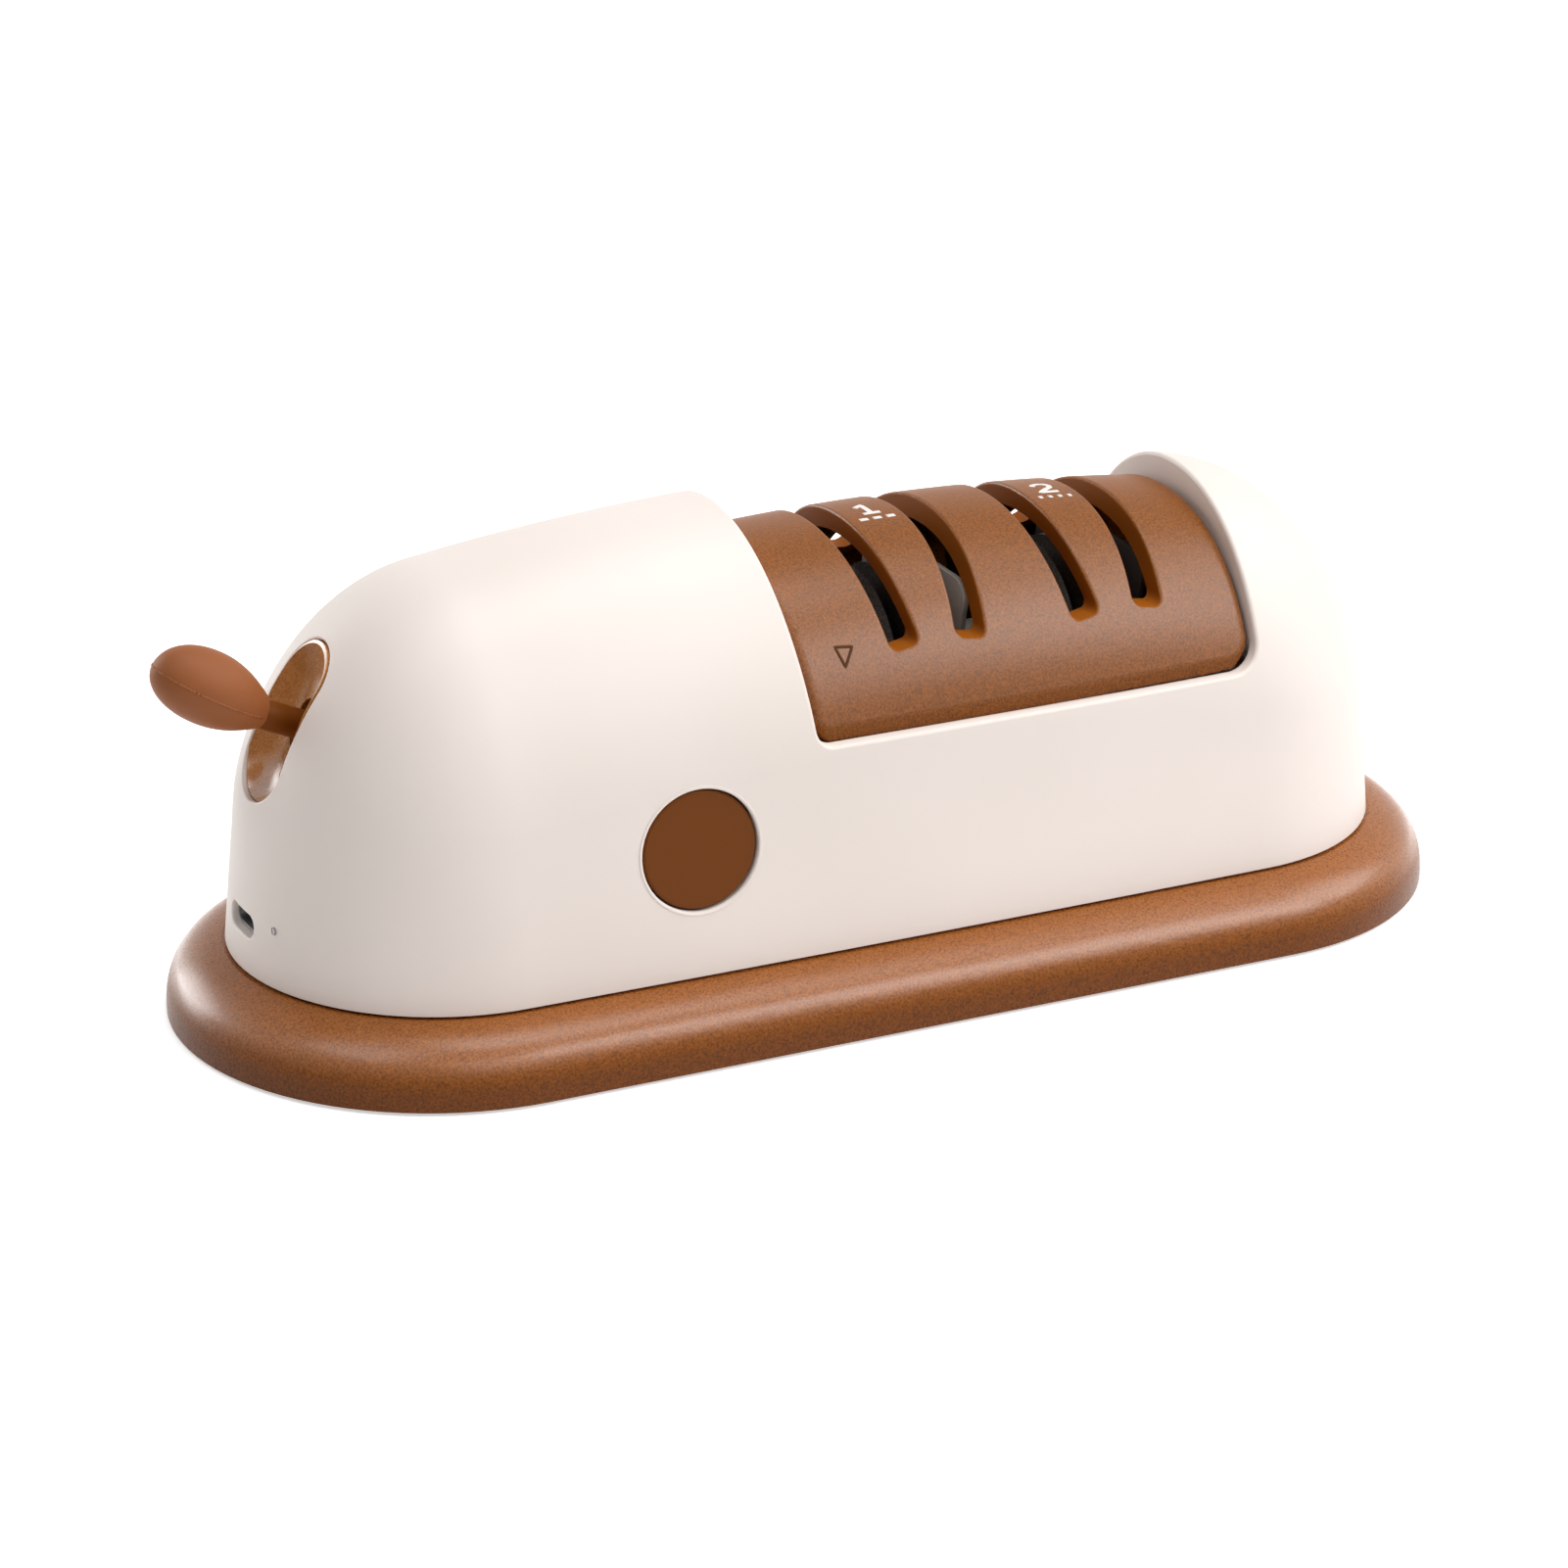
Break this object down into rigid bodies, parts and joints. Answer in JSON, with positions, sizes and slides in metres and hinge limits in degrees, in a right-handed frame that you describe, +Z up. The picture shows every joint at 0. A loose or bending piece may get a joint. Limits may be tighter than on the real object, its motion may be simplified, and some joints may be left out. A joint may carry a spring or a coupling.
{
  "type": "electric knife sharpener",
  "caption": "Domed cordless electric knife sharpener on an oval skirt, with a lift-out slotted grinding cartridge, a side start button and a leaf-shaped lever.",
  "frame": {"origin": "middle of the base, on the surface that the feet stand on", "axes": "+X along the sharpener from the head with the lever to the tail, +Y away from the side with the start button, +Z up"},
  "size_m": [0.2225, 0.088, 0.0777],
  "materials": {
    "cream_shell": "fine matte moulded",
    "brown_textured": "fine spark-eroded texture",
    "brown_satin": "smooth satin",
    "leaf_silicone": "smooth soft-touch",
    "black_plastic": "matte moulded",
    "dark_brown_plastic": "matte moulded",
    "pad_rubber": "matte",
    "zinc_screw": "zinc plated",
    "motor_steel": "drawn and zinc plated",
    "ground_steel": "ground",
    "rotor_steel": "stacked sheet",
    "coarse_grit": "diamond grit plated",
    "fine_grit": "fine grit plated",
    "guide_grey": "matte moulded",
    "guide_dark": "matte moulded",
    "bronze_bush": "sintered",
    "nickel_tab": "nickel strip",
    "cell_wrap": "shrink-wrapped",
    "board_green": "solder mask",
    "chip_black": "moulded resin",
    "clear_pipe": "clear moulded",
    "socket_steel": "stamped",
    "white_nylon": "moulded",
    "switch_black": "moulded"
  },
  "bodies": {
    "housing": {"base_skirt": "brown_textured", "bottom_plate": "black_plastic", "rubber_feet": "pad_rubber", "bottom_screws": "zinc_screw", "housing_shell": "cream_shell", "well_tray": "black_plastic", "lever_dish": "brown_textured", "lever_pin": "ground_steel", "push_switch": "switch_black", "button_bracket": "black_plastic", "power_switch": "switch_black", "switch_bracket": "black_plastic", "motor_can": "motor_steel", "motor_end_cap": "switch_black", "motor_terminals": "nickel_tab", "motor_plate": "motor_steel", "motor_screws": "zinc_screw", "plate_screws": "zinc_screw", "battery_cell": "cell_wrap", "battery_cradle": "black_plastic", "battery_tabs": "nickel_tab", "circuit_board": "board_green", "board_screws": "zinc_screw", "usb_socket": "socket_steel", "board_components": "chip_black", "light_pipe": "clear_pipe"},
    "lever": {"lever_arm": "brown_satin", "leaf_knob": "leaf_silicone"},
    "switch_slide": {"switch_slider": "white_nylon"},
    "button": {"start_button": "brown_satin"},
    "plunger": {"push_plunger": "white_nylon"},
    "cartridge": {"cartridge_shell": "brown_textured", "cartridge_tray": "dark_brown_plastic", "coarse_guides": "guide_grey", "fine_guides": "guide_dark", "shaft_bushes": "bronze_bush"},
    "grinding_rotor": {"grinding_shaft": "ground_steel", "retaining_clips": "zinc_screw", "driven_dog": "white_nylon", "coarse_wheel_left": "coarse_grit", "coarse_wheel_right": "coarse_grit", "fine_wheel_left": "fine_grit", "fine_wheel_right": "fine_grit", "spacer_sleeves": "white_nylon"},
    "motor_rotor": {"motor_shaft": "ground_steel", "motor_rotor": "rotor_steel", "drive_dog": "white_nylon"}
  },
  "joints": [
    {"name": "lever_tilt", "type": "hinge", "parent": "housing", "child": "lever", "pos_m": [-0.08184, 0, 0.04762], "axis": [0, 1, 0], "range_deg": [-12, 12]},
    {"name": "switch_travel", "type": "slide", "parent": "housing", "child": "switch_slide", "axis": [0, 0, 1], "range_m": [-0.0019, 0.0019]},
    {"name": "button_press", "type": "slide", "parent": "housing", "child": "button", "axis": [0, 1, 0], "range_m": [0, 0.0015], "stiffness_N_per_m": 1200, "springref_m": -0.0005},
    {"name": "plunger_travel", "type": "slide", "parent": "housing", "child": "plunger", "axis": [0, 1, 0], "range_m": [0, 0.0015]},
    {"name": "cartridge_lift", "type": "slide", "parent": "housing", "child": "cartridge", "axis": [0, 0, 1], "range_m": [0, 0.06]},
    {"name": "grinding_spin", "type": "hinge", "parent": "cartridge", "child": "grinding_rotor", "pos_m": [0.02, 0, 0.046], "axis": [1, 0, 0], "continuous": true},
    {"name": "motor_spin", "type": "hinge", "parent": "housing", "child": "motor_rotor", "pos_m": [-0.04, 0, 0.046], "axis": [1, 0, 0], "continuous": true}
  ],
  "couplings": [
    {"joint": "switch_travel", "follows": "lever_tilt", "m_per_rad": -0.009},
    {"joint": "plunger_travel", "follows": "button_press", "ratio": 1},
    {"joint": "motor_spin", "follows": "grinding_spin", "ratio": 1}
  ]
}
